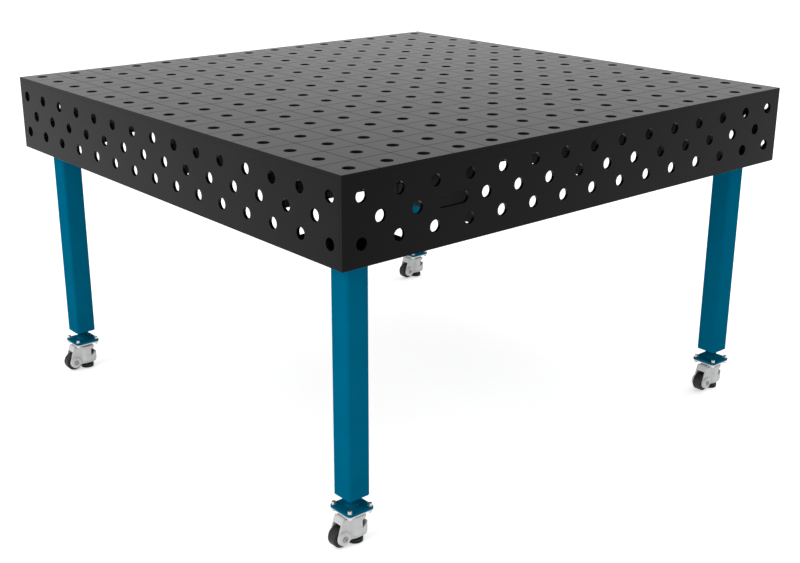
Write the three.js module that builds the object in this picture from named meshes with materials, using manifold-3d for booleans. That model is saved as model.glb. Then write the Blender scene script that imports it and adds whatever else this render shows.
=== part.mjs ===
// Welding table: a perforated steel box top with inner ribs, on four square legs that stand on
// levelling casters.  Millimetres, +Z up, origin on the floor under the middle of the table.
// +X runs along the longer side of the top, +Y along the shorter one.

import * as THREE from 'three';
import { mergeVertices } from 'three/addons/utils/BufferGeometryUtils.js';
import Module from 'manifold-3d';

const wasm = await Module();
wasm.setup();

// ---------------------------------------------------------------- driving dimensions

const GAP = 0.3; // left between pieces that touch
const REACH = 5; // how far a cutting tool runs past the face that it cuts

// box top
const TABLE_LENGTH = 1500;
const TABLE_WIDTH = 1480;
const TABLE_HEIGHT = 884;
const BOX_DEPTH = 200;
const SHEET = 8;
const HOLE_DIAMETER = 28;
const HOLE_SIDES = 6; // a hole is a hexagon that just holds the round tool
const BOLT_HOLE_SIDES = 4; // the small bolt holes are plain squares
const HOLE_PITCH = 100;
const HOLES_PER_ROW = 15;
const HANDLE_SLOT = { x: -450, length: 90, height: 28 };

// ribs under the plate, standing between the rows of holes
const CROSS_RIBS = [
  { x: -375, depth: 170 },
  { x: 25, depth: 135 },
  { x: 275, depth: 120 },
  { x: 525, depth: 170 },
];
const LONG_RIB_Y = [-475, -75, 425];
const LONG_RIB_DEPTH = 130;
const RIB_JOINT_DEPTH = 74; // below the top face, where the two sets of ribs interlock

// legs
const LEG_SIZE = 60;
const LEG_CORNER = 8;
const LEG_WALL = 3;
const LEG_X = 667;
const LEG_Y = 657;
const LEG_BOTTOM = 122;
const CORNER_PLATE = { size: 180, top: 714, thickness: 8 };
const FLANGE = { size: 140, thickness: 8, bolt_pitch: 110, bolt_hole: 11 };
const INSERT_HEIGHT = 20;

// levelling spindle and the square adapter plate that carries the caster
const SPINDLE_DIAMETER = 20;
const SPINDLE_SIDES = 12;
const SPINDLE_TOP = 162;
const ADAPTER = { size: 74, corner: 9, bottom: 87.5, thickness: 6 };
const ADAPTER_BOSS = { diameter: 31, height: 8 };
const LOCK_NUT = { across_flats: 30, height: 12 };
const CASTER_BOLT = { pitch: 58, hole: 9 };

// levelling caster: its wheel trails towards -X, its foot stands a little to +X.
// The foot is screwed down so far that the wheel is just off the floor.
const CASTER_PLATE_THICKNESS = 3;
const RACE = { diameter: 46, height: 6 };
const KING_PIN = { diameter: 10, length: 10 };
const BODY = {
  fork_width: 40,
  rear_width: 46,
  fork_end: -14, // the body widens behind the fork
  front_at_top: -38,
  rear_at_top: 24,
  rear: 36,
  rear_corner: 20,
  lip: 50, // top of the rear wall, behind the thumb wheel's window
  window: 12.5, // where that window starts
  underside: 19,
  axle_boss: 16.5,
};
const WHEEL = { x: -36.5, z: 28, radius: 25, width: 24 };
const AXLE_DIAMETER = 10;
const AXLE_HEAD = { diameter: 16, thickness: 1.5 };
const FOOT = { x: 8, radius: 19, bottom: 0, thickness: 12, screw: 12, screw_top: 62, raise: 3 };
const THUMB_WHEEL = { radius: 20.5, bottom: 46, thickness: 11 };
const CLEARANCE = 0.5; // between a turning or sliding piece and its housing

// heights that follow from them
const PLATE_BOTTOM = TABLE_HEIGHT - SHEET;
const BOX_BOTTOM = TABLE_HEIGHT - BOX_DEPTH;
const ADAPTER_TOP = ADAPTER.bottom + ADAPTER.thickness;
const CASTER_PLATE_TOP = ADAPTER.bottom - GAP;
const CASTER_PLATE_BOTTOM = CASTER_PLATE_TOP - CASTER_PLATE_THICKNESS;
const RACE_BOTTOM = CASTER_PLATE_BOTTOM - RACE.height;
const BODY_TOP = RACE_BOTTOM - GAP;
const FOOT_TOP = FOOT.bottom + FOOT.thickness;

// ---------------------------------------------------------------- finishes

const finishes = {
  topSteel: () => steel(0x4c4f50, 0.5, 0.6),
  wallSteel: () => steel(0x3a3d3e, 0.55, 0.6),
  ribSteel: () => steel(0x2c2e2f, 0.6, 0.5),
  blackPlate: () => steel(0x1b1c1d, 0.6, 0.4),
  paint: () => steel(0x00597a, 0.45, 0.0),
  zinc: () => steel(0xb9bcbd, 0.35, 0.9),
  castBody: () => steel(0xc9cbca, 0.45, 0.3),
  tread: () => steel(0x232425, 0.7, 0.0),
  thumbWheel: () => steel(0x9a1f1c, 0.5, 0.0),
  footRubber: () => steel(0x1d1e1f, 0.75, 0.0),
};

function steel(color, roughness, metalness) {
  return new THREE.MeshStandardMaterial({ color, roughness, metalness });
}

// ---------------------------------------------------------------- shape helpers

function roundedSquare(size, corner, asHole = false) {
  const h = size / 2;
  const path = asHole ? new THREE.Path() : new THREE.Shape();
  path.absarc(h - corner, h - corner, corner, 0, Math.PI / 2);
  path.absarc(corner - h, h - corner, corner, Math.PI / 2, Math.PI);
  path.absarc(corner - h, corner - h, corner, Math.PI, 1.5 * Math.PI);
  path.absarc(h - corner, corner - h, corner, 1.5 * Math.PI, 2 * Math.PI);
  return path;
}

function rectangle(x0, y0, x1, y1) {
  return outline([[x0, y0], [x1, y0], [x1, y1], [x0, y1]]);
}

function outline(points) {
  return new THREE.Shape(points.map(([x, y]) => new THREE.Vector2(x, y)));
}

// A regular polygon that just holds a circle of the given diameter.
function polygonHole(x, y, diameter, sides) {
  const radius = diameter / 2 / Math.cos(Math.PI / sides);
  const corners = Array.from({ length: sides }, (_, i) => {
    const angle = (2 * Math.PI * i) / sides;
    return new THREE.Vector2(x + radius * Math.cos(angle), y + radius * Math.sin(angle));
  });
  return new THREE.Path(corners);
}

// A slot with round ends, along the first axis.
function obroundHole(x, y, length, height) {
  const r = height / 2;
  const run = length / 2 - r;
  const path = new THREE.Path();
  path.absarc(x + run, y, r, -Math.PI / 2, Math.PI / 2);
  path.absarc(x - run, y, r, Math.PI / 2, 1.5 * Math.PI);
  return path;
}

function extrude(shape, depth, curveSegments = 2) {
  return new THREE.ExtrudeGeometry(shape, { depth, bevelEnabled: false, curveSegments });
}

// Turns [radius, z] pairs about the Z axis.
function turned(profile, segments = 12) {
  const points = profile.map(([r, z]) => new THREE.Vector2(r, z));
  return new THREE.LatheGeometry(points, segments).rotateX(Math.PI / 2);
}

function rod(diameter, z0, z1, segments = 12) {
  const r = diameter / 2;
  return turned([[0, z0], [r, z0], [r, z1], [0, z1]], segments);
}

function block(x0, y0, z0, x1, y1, z1) {
  const geometry = new THREE.BoxGeometry(x1 - x0, y1 - y0, z1 - z0);
  return geometry.translate((x0 + x1) / 2, (y0 + y1) / 2, (z0 + z1) / 2);
}

// ---------------------------------------------------------------- joining and cutting

function toSolid(geometry) {
  const bare = geometry.clone();
  bare.deleteAttribute('normal');
  bare.deleteAttribute('uv');
  const merged = mergeVertices(bare, 1e-4);
  const vertProperties = new Float32Array(merged.attributes.position.array);
  const triVerts = new Uint32Array(merged.index.array);
  return new wasm.Manifold(new wasm.Mesh({ numProp: 3, vertProperties, triVerts }));
}

function toGeometry(solid) {
  const mesh = solid.getMesh();
  const geometry = new THREE.BufferGeometry();
  geometry.setAttribute('position', new THREE.BufferAttribute(mesh.vertProperties, 3));
  geometry.setIndex(new THREE.BufferAttribute(mesh.triVerts, 1));
  geometry.computeVertexNormals();
  return geometry;
}

function join(first, second) {
  return toGeometry(toSolid(first).add(toSolid(second)));
}

function named(name, geometry, material) {
  const mesh = new THREE.Mesh(geometry, material);
  mesh.name = name;
  return mesh;
}

// ---------------------------------------------------------------- box top

// Hole positions along a side: a full row, or the shorter row that sits between them.
function holeRow(count) {
  return Array.from({ length: count }, (_, i) => (i - (count - 1) / 2) * HOLE_PITCH);
}

function topPlate() {
  const plate = rectangle(-TABLE_LENGTH / 2, -TABLE_WIDTH / 2, TABLE_LENGTH / 2, TABLE_WIDTH / 2);
  for (const x of holeRow(HOLES_PER_ROW)) {
    for (const y of holeRow(HOLES_PER_ROW)) {
      plate.holes.push(polygonHole(x, y, HOLE_DIAMETER, HOLE_SIDES));
    }
  }
  const mesh = named('top_plate', extrude(plate, SHEET), finishes.topSteel());
  mesh.position.z = PLATE_BOTTOM;
  return mesh;
}

// A side wall drawn flat: along its length and up, from the lower edge of the box.
function wallOutline(length, slot) {
  const wall = rectangle(-length / 2, 0, length / 2, BOX_DEPTH - SHEET - GAP);
  const rowHeights = [BOX_DEPTH / 4, BOX_DEPTH / 2, (3 * BOX_DEPTH) / 4];
  rowHeights.forEach((height, row) => {
    const holesInRow = row === 1 ? HOLES_PER_ROW - 1 : HOLES_PER_ROW;
    for (const along of holeRow(holesInRow)) {
      const takenBySlot = slot && row === 1 && along === slot.x;
      const hole = takenBySlot
        ? obroundHole(along, height, slot.length, slot.height)
        : polygonHole(along, height, HOLE_DIAMETER, HOLE_SIDES);
      wall.holes.push(hole);
    }
  });
  return wall;
}

// The long walls run the full length of the box, the short walls fit between them.
function sideWalls() {
  const walls = new THREE.Group();
  const shortLength = TABLE_WIDTH - 2 * (SHEET + GAP);
  const longWall = (name, y, slot) => {
    const mesh = named(name, extrude(wallOutline(TABLE_LENGTH, slot), SHEET), finishes.wallSteel());
    mesh.rotation.x = Math.PI / 2;
    mesh.position.set(0, y + SHEET / 2, BOX_BOTTOM);
    walls.add(mesh);
  };
  const shortWall = (name, x) => {
    const stand = new THREE.Group();
    const mesh = named(name, extrude(wallOutline(shortLength), SHEET), finishes.wallSteel());
    mesh.rotation.x = Math.PI / 2;
    stand.rotation.z = Math.PI / 2;
    stand.position.set(x - SHEET / 2, 0, BOX_BOTTOM);
    stand.add(mesh);
    walls.add(stand);
  };
  longWall('long_wall_near', -(TABLE_WIDTH - SHEET) / 2, HANDLE_SLOT);
  longWall('long_wall_far', (TABLE_WIDTH - SHEET) / 2);
  shortWall('short_wall_left', -(TABLE_LENGTH - SHEET) / 2);
  shortWall('short_wall_right', (TABLE_LENGTH - SHEET) / 2);
  return walls;
}

// A rib drawn flat, z = 0 at its top edge, with slots where it meets the other set of ribs.
function ribOutline(length, depth, slotsAt, slotTop, slotBottom) {
  const h = length / 2;
  const half = SHEET / 2 + GAP;
  const openAtTop = slotTop === 0;
  const points = [];
  const notch = (edge, floor, centre, step) => {
    points.push([centre - step * half, edge], [centre - step * half, floor]);
    points.push([centre + step * half, floor], [centre + step * half, edge]);
  };
  points.push([-h, -depth]);
  if (!openAtTop) {
    slotsAt.forEach((centre) => notch(-depth, slotTop, centre, 1));
  }
  points.push([h, -depth], [h, 0]);
  if (openAtTop) {
    [...slotsAt].reverse().forEach((centre) => notch(0, slotBottom, centre, -1));
  }
  points.push([-h, 0]);
  return outline(points);
}

function ribs() {
  const group = new THREE.Group();
  const topEdge = PLATE_BOTTOM - GAP;
  const joint = -(RIB_JOINT_DEPTH - SHEET);
  const crossLength = TABLE_WIDTH - 2 * (SHEET + GAP);
  const longLength = TABLE_LENGTH - 2 * (SHEET + GAP);
  const longDepth = LONG_RIB_DEPTH - SHEET;
  const crossAt = CROSS_RIBS.map((rib) => rib.x);
  CROSS_RIBS.forEach(({ x, depth }, i) => {
    const below = depth - SHEET;
    const shape = ribOutline(crossLength, below, LONG_RIB_Y, joint, -below);
    const stand = new THREE.Group();
    const mesh = named(`cross_rib_${i + 1}`, extrude(shape, SHEET), finishes.ribSteel());
    mesh.rotation.x = Math.PI / 2;
    stand.rotation.z = Math.PI / 2;
    stand.position.set(x - SHEET / 2, 0, topEdge);
    stand.add(mesh);
    group.add(stand);
  });
  LONG_RIB_Y.forEach((y, i) => {
    const shape = ribOutline(longLength, longDepth, crossAt, 0, joint - GAP);
    const mesh = named(`long_rib_${i + 1}`, extrude(shape, SHEET), finishes.ribSteel());
    mesh.rotation.x = Math.PI / 2;
    mesh.position.set(0, y + SHEET / 2, topEdge);
    group.add(mesh);
  });
  return group;
}

// ---------------------------------------------------------------- legs

// Four holes on a square.
function squareHoles(shape, pitch, diameter) {
  for (const x of [-pitch / 2, pitch / 2]) {
    for (const y of [-pitch / 2, pitch / 2]) {
      shape.holes.push(polygonHole(x, y, diameter, BOLT_HOLE_SIDES));
    }
  }
  return shape;
}

// The plate welded into a corner of the box, with the bolt holes of the leg's flange.
// It is drawn about the leg's axis; cornerX and cornerY are +1 or -1.
function cornerPlate(name, cornerX, cornerY) {
  const outerX = cornerX * (TABLE_LENGTH / 2 - SHEET - GAP - LEG_X);
  const outerY = cornerY * (TABLE_WIDTH / 2 - SHEET - GAP - LEG_Y);
  const innerX = outerX - cornerX * CORNER_PLATE.size;
  const innerY = outerY - cornerY * CORNER_PLATE.size;
  const shape = rectangle(
    Math.min(outerX, innerX), Math.min(outerY, innerY),
    Math.max(outerX, innerX), Math.max(outerY, innerY),
  );
  squareHoles(shape, FLANGE.bolt_pitch, FLANGE.bolt_hole);
  const mesh = named(name, extrude(shape, CORNER_PLATE.thickness), finishes.blackPlate());
  mesh.position.z = CORNER_PLATE.top - CORNER_PLATE.thickness;
  return mesh;
}

// A square tube welded under its bolting flange.
function leg(name) {
  const flangeTop = CORNER_PLATE.top - CORNER_PLATE.thickness - GAP;
  const flangeBottom = flangeTop - FLANGE.thickness;
  const section = roundedSquare(LEG_SIZE, LEG_CORNER);
  section.holes.push(roundedSquare(LEG_SIZE - 2 * LEG_WALL, LEG_CORNER - LEG_WALL, true));
  const tube = extrude(section, flangeBottom + 1 - LEG_BOTTOM).translate(0, 0, LEG_BOTTOM);
  const flangeShape = squareHoles(
    roundedSquare(FLANGE.size, LEG_CORNER), FLANGE.bolt_pitch, FLANGE.bolt_hole,
  );
  const flange = extrude(flangeShape, FLANGE.thickness).translate(0, 0, flangeBottom);
  return named(name, join(tube, flange), finishes.paint());
}

// The threaded block that closes the lower end of the tube.
function legInsert(name) {
  const size = LEG_SIZE - 2 * (LEG_WALL + GAP);
  const shape = roundedSquare(size, LEG_CORNER - LEG_WALL);
  shape.holes.push(polygonHole(0, 0, SPINDLE_DIAMETER + 2 * GAP, SPINDLE_SIDES));
  const mesh = named(name, extrude(shape, INSERT_HEIGHT), finishes.paint());
  mesh.position.z = LEG_BOTTOM;
  return mesh;
}

function lockNut(name) {
  const radius = LOCK_NUT.across_flats / 2 / Math.cos(Math.PI / 6);
  const corners = Array.from({ length: 6 }, (_, i) => {
    const angle = (Math.PI * i) / 3;
    return [radius * Math.cos(angle), radius * Math.sin(angle)];
  });
  const shape = outline(corners);
  shape.holes.push(polygonHole(0, 0, SPINDLE_DIAMETER + 2 * GAP, SPINDLE_SIDES));
  const mesh = named(name, extrude(shape, LOCK_NUT.height), finishes.paint());
  mesh.position.z = LEG_BOTTOM - GAP - LOCK_NUT.height;
  return mesh;
}

// The spindle with its boss and square plate, welded into one piece.
function adapter(name) {
  const plateShape = squareHoles(
    roundedSquare(ADAPTER.size, ADAPTER.corner), CASTER_BOLT.pitch, CASTER_BOLT.hole,
  );
  const plate = extrude(plateShape, ADAPTER.thickness).translate(0, 0, ADAPTER.bottom);
  const rootZ = ADAPTER_TOP - 1;
  const bossTop = ADAPTER_TOP + ADAPTER_BOSS.height;
  const bossRadius = ADAPTER_BOSS.diameter / 2;
  const spindleRadius = SPINDLE_DIAMETER / 2;
  const spindle = turned([
    [0, rootZ],
    [bossRadius, rootZ],
    [bossRadius, bossTop - 2],
    [bossRadius - 2, bossTop],
    [spindleRadius, bossTop],
    [spindleRadius, SPINDLE_TOP],
    [0, SPINDLE_TOP],
  ]);
  return named(name, join(plate, spindle), finishes.paint());
}

// ---------------------------------------------------------------- levelling caster

// The caster's top plate with the race that the body turns on and its king pin.
function casterPlate(name) {
  const plateShape = squareHoles(
    roundedSquare(ADAPTER.size, ADAPTER.corner), CASTER_BOLT.pitch, CASTER_BOLT.hole,
  );
  const plate = extrude(plateShape, CASTER_PLATE_THICKNESS).translate(0, 0, CASTER_PLATE_BOTTOM);
  const pinRadius = KING_PIN.diameter / 2;
  const race = turned([
    [0, RACE_BOTTOM - KING_PIN.length],
    [pinRadius, RACE_BOTTOM - KING_PIN.length],
    [pinRadius, RACE_BOTTOM],
    [RACE.diameter / 2, RACE_BOTTOM],
    [RACE.diameter / 2, CASTER_PLATE_BOTTOM + 1],
    [0, CASTER_PLATE_BOTTOM + 1],
  ]);
  return named(name, join(plate, race), finishes.zinc());
}

// The side outline of the cast body: fork around the axle, cup around the foot screw, and
// behind the cup a window that the thumb wheel is turned through.
function bodyOutline() {
  const chamfer = 6;
  const corner = 4;
  const thumbTop = THUMB_WHEEL.bottom + THUMB_WHEEL.thickness;
  const forkFront = WHEEL.x - BODY.axle_boss;
  const shape = new THREE.Shape();
  shape.moveTo(BODY.front_at_top, BODY_TOP);
  shape.lineTo(forkFront, WHEEL.z + chamfer);
  shape.absarc(WHEEL.x, WHEEL.z, BODY.axle_boss, Math.PI, 1.75 * Math.PI);
  shape.lineTo(-FOOT.x, BODY.underside);
  shape.lineTo(BODY.rear - chamfer, BODY.underside);
  shape.lineTo(BODY.rear, BODY.underside + chamfer);
  shape.lineTo(BODY.rear, BODY.lip - corner);
  shape.lineTo(BODY.rear - corner, BODY.lip);
  shape.lineTo(BODY.rear - 2 * corner, BODY.lip);
  shape.lineTo(BODY.window, THUMB_WHEEL.bottom - chamfer);
  shape.lineTo(BODY.window, thumbTop + corner);
  shape.lineTo(BODY.rear_at_top, thumbTop + 2 * corner);
  shape.lineTo(BODY.rear_at_top, BODY_TOP);
  return shape;
}

// The same body seen from above.
function bodyPlan() {
  const fork = BODY.fork_width / 2;
  const h = BODY.rear_width / 2;
  const front = WHEEL.x - BODY.axle_boss;
  const wide = BODY.fork_end + 2 * (h - fork);
  const cornerX = BODY.rear - BODY.rear_corner;
  const cornerY = h - BODY.rear_corner;
  const shape = new THREE.Shape();
  shape.moveTo(front, fork);
  shape.lineTo(front, -fork);
  shape.lineTo(BODY.fork_end, -fork);
  shape.lineTo(wide, -h);
  shape.absarc(cornerX, -cornerY, BODY.rear_corner, -Math.PI / 2, 0);
  shape.absarc(cornerX, cornerY, BODY.rear_corner, 0, Math.PI / 2);
  shape.lineTo(wide, h);
  shape.lineTo(BODY.fork_end, fork);
  return shape;
}

// The fork's gap, which the wheel turns in.
function wheelSlot() {
  const half = WHEEL.width / 2 + 1;
  const end = WHEEL.x + WHEEL.radius + 2;
  const top = WHEEL.z + WHEEL.radius + 8;
  return block(WHEEL.x - BODY.axle_boss - REACH, -half, -REACH, end, half, top);
}

function casterBody(name) {
  const h = BODY.rear_width / 2;
  const side = extrude(bodyOutline(), BODY.rear_width, 6).rotateX(Math.PI / 2).translate(0, h, 0);
  const plan = extrude(bodyPlan(), BODY_TOP + REACH);
  const axleHole = rod(AXLE_DIAMETER + 2 * CLEARANCE, -h - REACH, h + REACH);
  axleHole.rotateX(Math.PI / 2).translate(WHEEL.x, 0, WHEEL.z);
  const thumbTop = THUMB_WHEEL.bottom + THUMB_WHEEL.thickness;
  const thumbPocket = rod(2 * (THUMB_WHEEL.radius + 1), THUMB_WHEEL.bottom - 1, thumbTop + 1);
  thumbPocket.translate(FOOT.x, 0, 0);
  const screwBore = rod(FOOT.screw + 2 * CLEARANCE, 0, FOOT.screw_top + FOOT.raise + 1);
  screwBore.translate(FOOT.x, 0, 0);
  const pinBottom = BODY_TOP - KING_PIN.length - 1;
  const pinHole = rod(KING_PIN.diameter + 2 * CLEARANCE, pinBottom, BODY_TOP + REACH);
  let solid = toSolid(side).intersect(toSolid(plan));
  for (const tool of [wheelSlot(), axleHole, thumbPocket, screwBore, pinHole]) {
    solid = solid.subtract(toSolid(tool));
  }
  return named(name, toGeometry(solid), finishes.castBody());
}

// A pin with a flat head at each end, along Y.
function axle(name) {
  const r = AXLE_DIAMETER / 2;
  const head = AXLE_HEAD.diameter / 2;
  const inner = BODY.fork_width / 2 + GAP;
  const end = inner + AXLE_HEAD.thickness;
  const geometry = turned([
    [0, -end], [head, -end], [head, -inner], [r, -inner],
    [r, inner], [head, inner], [head, end], [0, end],
  ]);
  const mesh = named(name, geometry, finishes.zinc());
  mesh.rotation.x = Math.PI / 2;
  mesh.position.set(WHEEL.x, 0, WHEEL.z);
  return mesh;
}

function wheel(name) {
  const w = WHEEL.width / 2;
  const bore = AXLE_DIAMETER / 2 + GAP;
  const shoulder = 4;
  const geometry = turned([
    [bore, -w], [WHEEL.radius - shoulder, -w], [WHEEL.radius, shoulder - w],
    [WHEEL.radius, w - shoulder], [WHEEL.radius - shoulder, w], [bore, w], [bore, -w],
  ], 18);
  const mesh = named(name, geometry, finishes.tread());
  mesh.rotation.x = Math.PI / 2;
  mesh.position.set(WHEEL.x, 0, WHEEL.z);
  return mesh;
}

function thumbWheel(name) {
  const bore = FOOT.screw / 2 + GAP;
  const top = THUMB_WHEEL.bottom + THUMB_WHEEL.thickness;
  const geometry = turned([
    [bore, THUMB_WHEEL.bottom], [THUMB_WHEEL.radius, THUMB_WHEEL.bottom],
    [THUMB_WHEEL.radius, top], [bore, top], [bore, THUMB_WHEEL.bottom],
  ]);
  const mesh = named(name, geometry, finishes.thumbWheel());
  mesh.position.x = FOOT.x;
  return mesh;
}

function foot(name) {
  const edge = 3;
  const screw = FOOT.screw / 2;
  const geometry = turned([
    [0, FOOT.bottom], [FOOT.radius - edge, FOOT.bottom], [FOOT.radius, FOOT.bottom + edge],
    [FOOT.radius, FOOT_TOP], [screw, FOOT_TOP], [screw, FOOT.screw_top], [0, FOOT.screw_top],
  ]);
  const mesh = named(name, geometry, finishes.footRubber());
  mesh.position.x = FOOT.x;
  return mesh;
}

// ---------------------------------------------------------------- assembly

const corners = {
  front: [-1, -1],
  left: [-1, 1],
  right: [1, -1],
  back: [1, 1],
};

function corner(name, [cornerX, cornerY]) {
  const group = new THREE.Group();
  group.position.set(cornerX * LEG_X, cornerY * LEG_Y, 0);
  group.add(
    cornerPlate(`corner_plate_${name}`, cornerX, cornerY),
    leg(`leg_${name}`),
    legInsert(`leg_insert_${name}`),
    lockNut(`lock_nut_${name}`),
    adapter(`spindle_adapter_${name}`),
    casterPlate(`caster_plate_${name}`),
    casterBody(`caster_body_${name}`),
    axle(`wheel_axle_${name}`),
    wheel(`wheel_${name}`),
    thumbWheel(`thumb_wheel_${name}`),
    foot(`foot_${name}`),
  );
  return group;
}

const weldingTable = new THREE.Group();
weldingTable.add(topPlate(), sideWalls(), ribs());
for (const [name, signs] of Object.entries(corners)) {
  weldingTable.add(corner(name, signs));
}

export default weldingTable;
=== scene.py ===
import math

import bmesh
import bpy
from mathutils import Matrix, Vector
from mathutils.geometry import delaunay_2d_cdt


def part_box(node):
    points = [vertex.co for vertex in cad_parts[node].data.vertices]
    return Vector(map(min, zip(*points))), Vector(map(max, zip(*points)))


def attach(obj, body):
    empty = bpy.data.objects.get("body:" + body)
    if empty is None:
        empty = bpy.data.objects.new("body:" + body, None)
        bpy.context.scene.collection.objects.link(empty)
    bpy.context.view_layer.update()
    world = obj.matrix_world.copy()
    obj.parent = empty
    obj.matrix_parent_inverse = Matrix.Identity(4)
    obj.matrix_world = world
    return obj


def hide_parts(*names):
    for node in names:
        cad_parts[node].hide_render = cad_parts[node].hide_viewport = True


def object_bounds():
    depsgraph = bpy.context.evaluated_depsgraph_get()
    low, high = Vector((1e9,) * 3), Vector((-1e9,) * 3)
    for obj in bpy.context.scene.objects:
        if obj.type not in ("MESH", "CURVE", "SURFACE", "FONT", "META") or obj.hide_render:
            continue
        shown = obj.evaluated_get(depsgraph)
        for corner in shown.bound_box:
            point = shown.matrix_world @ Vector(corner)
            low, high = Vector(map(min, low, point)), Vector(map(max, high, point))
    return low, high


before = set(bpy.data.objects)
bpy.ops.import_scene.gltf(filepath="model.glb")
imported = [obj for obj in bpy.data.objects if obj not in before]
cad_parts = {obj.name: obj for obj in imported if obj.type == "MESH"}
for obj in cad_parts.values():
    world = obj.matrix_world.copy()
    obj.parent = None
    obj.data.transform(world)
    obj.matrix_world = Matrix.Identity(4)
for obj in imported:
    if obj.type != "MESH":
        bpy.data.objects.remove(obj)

cad_low, cad_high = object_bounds()

# ------------------------------------------------------------------ driving dimensions (metres)

MM = 0.001
CORNERS = ("front", "left", "right", "back")

# box top, read from the CAD plate and wall
plate_low, plate_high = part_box("top_plate")
TOP = plate_high.z
SHEET = plate_high.z - plate_low.z
HALF_LENGTH = plate_high.x
HALF_WIDTH = plate_high.y
BOX_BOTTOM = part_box("long_wall_near")[0].z
BOX_DEPTH = TOP - BOX_BOTTOM

# fixture holes, edges, scribed lines, and the slot in the near wall
PITCH = 100 * MM
HOLE_RADIUS = 14 * MM
HOLES_PER_ROW = 15
HOLE_CHAMFER = 0.8 * MM
EDGE_CHAMFER = 0.6 * MM
FINE_CHAMFER = 0.4 * MM
GROOVE_WIDTH = 2.0 * MM
GROOVE_DEPTH = 0.4 * MM
SLOT_AT = -450 * MM
SLOT_LENGTH = 90 * MM
SLOT_HEIGHT = 28 * MM
WALL_ROWS = (0.25, 0.5, 0.75)

# welds of the ribs
STITCH_LENGTH = 40 * MM
STITCH_PITCH = 200 * MM
STITCHES = 7
FIRST_STITCH = -650 * MM
FILLET_SIZE = 4 * MM
FILLET_STEP = 2 * MM
FILLET_END = 12 * MM

# legs and the flanges that bolt them to the box
LEG_SIZE = 60 * MM
LEG_CORNER = 8 * MM
LEG_WALL = 3 * MM
FLANGE_SIZE = 140 * MM
FLANGE_BOLTS = 110 * MM
FLANGE_THICKNESS = 8 * MM
FLANGE_BOLT_RADIUS = 5 * MM
FLANGE_BOLT_HOLE = 5.5 * MM
FLANGE_NUT = 17 * MM
LEG_WELD = 5 * MM

# levelling spindle, its nut, and the square adapter plate
SPINDLE_RADIUS = 10 * MM
LOCK_NUT_ACROSS = 30 * MM
ADAPTER_SIZE = 74 * MM
ADAPTER_CORNER = 9 * MM
ADAPTER_THICKNESS = 6 * MM
ADAPTER_BOSS_RADIUS = 15.5 * MM
BOSS_HEIGHT = 8 * MM
CASTER_BOLTS = 58 * MM
CASTER_BOLT_HOLE = 3.4 * MM
CASTER_BOLT_RADIUS = 3 * MM

# levelling caster; X runs from its swivel axis towards the foot
SWIVEL_PLATE_THICKNESS = 3 * MM
RACE_RADIUS = 23 * MM
KING_PIN_LENGTH = 10 * MM
KING_PIN_RADIUS = 5 * MM
WHEEL_AT = -36.5 * MM
WHEEL_RADIUS = 25 * MM
WHEEL_HALF = 12 * MM
AXLE_RADIUS = 5 * MM
AXLE_HEAD = 7.5 * MM
FOOT_AT = 8 * MM
FOOT_RADIUS = 19 * MM
FOOT_THICKNESS = 12 * MM
SCREW_RADIUS = 6 * MM
THUMB_RADIUS = 20.5 * MM

# the caster's casting: half widths, then places along X, then heights
FORK_HALF = 16.5 * MM
BOSS_HALF = 22.5 * MM
REAR_HALF = 23 * MM
NECK_HALF = 13 * MM
AXLE_BOSS = 16.5 * MM
FORK_TOP_AT = -38 * MM
FORK_KNEE_AT = -52 * MM
WAIST_FROM = -18 * MM
WAIST_TO = -3 * MM
WINDOW_AT = 12.5 * MM
BACK_TOP_AT = 24 * MM
BODY_REAR = 36 * MM
REAR_CORNER = 19 * MM
BODY_UNDERSIDE = 19 * MM
SHOULDER_DEPTH = 6 * MM
RIM_HEIGHT = 5 * MM
RIM_STEP = 1.8 * MM
RIM_GROOVE = 1.6 * MM
CASTING_VOXEL = 0.5 * MM
CASTING_SOFTENING = 4
PAST = 30 * MM  # how far a cutting tool runs past the casting


def node_centre(node):
    low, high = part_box(node)
    return (low + high) / 2


CORNER_AT = {corner: node_centre("leg_" + corner) for corner in CORNERS}
front = CORNER_AT["front"]


def local_box(node):
    """A front-corner node's box, counted from the swivel axis on the floor."""
    low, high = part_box(node)
    shift = Vector((front.x, front.y, 0))
    return low - shift, high - shift


AXLE_Z = local_box("wheel_front")[0].z + WHEEL_RADIUS


# ------------------------------------------------------------------ materials


def new_material(name, roughness, metallic=0.0, specular=0.5):
    material = bpy.data.materials.new(name)
    material.use_nodes = True
    shader = material.node_tree.nodes["Principled BSDF"]
    shader.inputs["Roughness"].default_value = roughness
    shader.inputs["Metallic"].default_value = metallic
    shader.inputs["Specular IOR Level"].default_value = specular
    return material, material.node_tree, shader


def noise(tree, scale, detail=4.0, roughness=0.55, stretch=(1, 1, 1)):
    """Object-space noise, drawn out along the axes where stretch is below one."""
    coordinates = tree.nodes.new("ShaderNodeTexCoord")
    mapping = tree.nodes.new("ShaderNodeMapping")
    mapping.inputs["Scale"].default_value = stretch
    texture = tree.nodes.new("ShaderNodeTexNoise")
    texture.inputs["Scale"].default_value = scale
    texture.inputs["Detail"].default_value = detail
    texture.inputs["Roughness"].default_value = roughness
    tree.links.new(coordinates.outputs["Object"], mapping.inputs["Vector"])
    tree.links.new(mapping.outputs["Vector"], texture.inputs["Vector"])
    return texture.outputs["Fac"]


def ramp(tree, source, low, high, edges=(0.3, 0.7)):
    """A colour that goes from low to high as the source crosses the two edges."""
    node = tree.nodes.new("ShaderNodeValToRGB")
    for element, position, colour in zip(node.color_ramp.elements, edges, (low, high)):
        element.position = position
        element.color = (*colour, 1)
    tree.links.new(source, node.inputs["Fac"])
    return node.outputs["Color"]


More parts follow.
